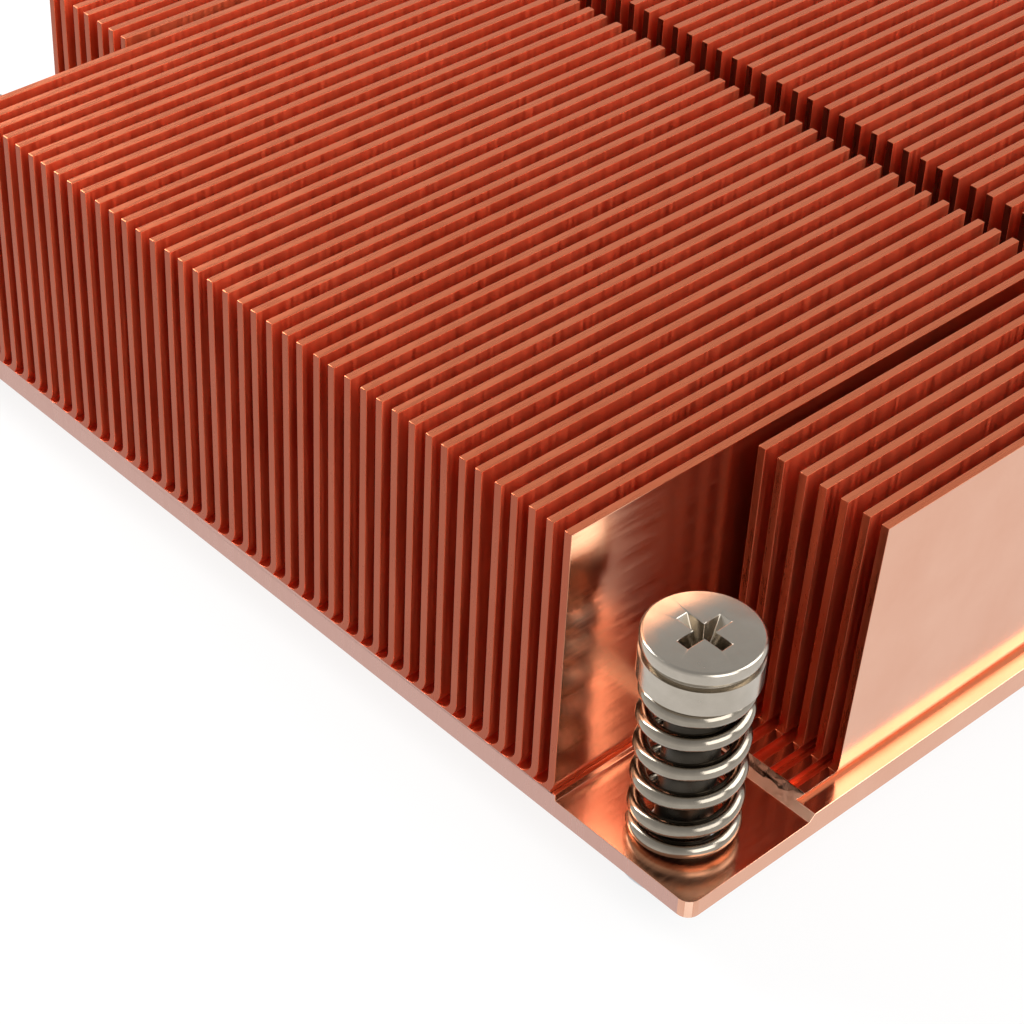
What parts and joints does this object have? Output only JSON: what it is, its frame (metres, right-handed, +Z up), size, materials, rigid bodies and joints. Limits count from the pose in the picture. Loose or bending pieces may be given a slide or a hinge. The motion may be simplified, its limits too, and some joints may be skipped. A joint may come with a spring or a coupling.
{
  "type": "passive server cpu heatsink",
  "caption": "Low square copper heatsink with skived fins on a thin base and spring-loaded captive screws in notched corners, for a 1U server processor.",
  "frame": {"origin": "centre of the contact face under the base, where it meets the processor", "axes": "+Z up through the fins, X across the fins, Y along the fins in the direction of the airflow"},
  "size_m": [0.091, 0.09, 0.0287],
  "materials": {
    "copper": "skived and milled bare copper, bright on cut faces",
    "screw_steel": "turned steel, nickel plated",
    "spring_steel": "drawn spring wire, nickel plated",
    "ring_steel": "stamped spring steel, plain"
  },
  "bodies": {
    "heatsink": {"heatsink_body": "copper"},
    "press_1": {"retaining_ring_1": "ring_steel", "spring_1": "spring_steel"},
    "turn_1": {"captive_screw_1": "screw_steel"},
    "press_2": {"retaining_ring_2": "ring_steel", "spring_2": "spring_steel"},
    "turn_2": {"captive_screw_2": "screw_steel"},
    "press_3": {"retaining_ring_3": "ring_steel", "spring_3": "spring_steel"},
    "turn_3": {"captive_screw_3": "screw_steel"},
    "press_4": {"retaining_ring_4": "ring_steel", "spring_4": "spring_steel"},
    "turn_4": {"captive_screw_4": "screw_steel"}
  },
  "joints": [
    {"name": "screw_1_press", "type": "slide", "parent": "heatsink", "child": "press_1", "axis": [0, 0, -1], "range_m": [0, 0.0035], "stiffness_N_per_m": 13500, "springref_m": -0.0012, "deforming": ["spring_1"]},
    {"name": "screw_1_turn", "type": "hinge", "parent": "press_1", "child": "turn_1", "pos_m": [0.04, -0.04, 0], "axis": [0, 0, 1], "continuous": true},
    {"name": "screw_2_press", "type": "slide", "parent": "heatsink", "child": "press_2", "axis": [0, 0, -1], "range_m": [0, 0.0035], "stiffness_N_per_m": 13500, "springref_m": -0.0012, "deforming": ["spring_2"]},
    {"name": "screw_2_turn", "type": "hinge", "parent": "press_2", "child": "turn_2", "pos_m": [-0.04, -0.04, 0], "axis": [0, 0, 1], "continuous": true},
    {"name": "screw_3_press", "type": "slide", "parent": "heatsink", "child": "press_3", "axis": [0, 0, -1], "range_m": [0, 0.0035], "stiffness_N_per_m": 13500, "springref_m": -0.0012, "deforming": ["spring_3"]},
    {"name": "screw_3_turn", "type": "hinge", "parent": "press_3", "child": "turn_3", "pos_m": [-0.04, 0.04, 0], "axis": [0, 0, 1], "continuous": true},
    {"name": "screw_4_press", "type": "slide", "parent": "heatsink", "child": "press_4", "axis": [0, 0, -1], "range_m": [0, 0.0035], "stiffness_N_per_m": 13500, "springref_m": -0.0012, "deforming": ["spring_4"]},
    {"name": "screw_4_turn", "type": "hinge", "parent": "press_4", "child": "turn_4", "pos_m": [0.04, 0.04, 0], "axis": [0, 0, 1], "continuous": true}
  ]
}
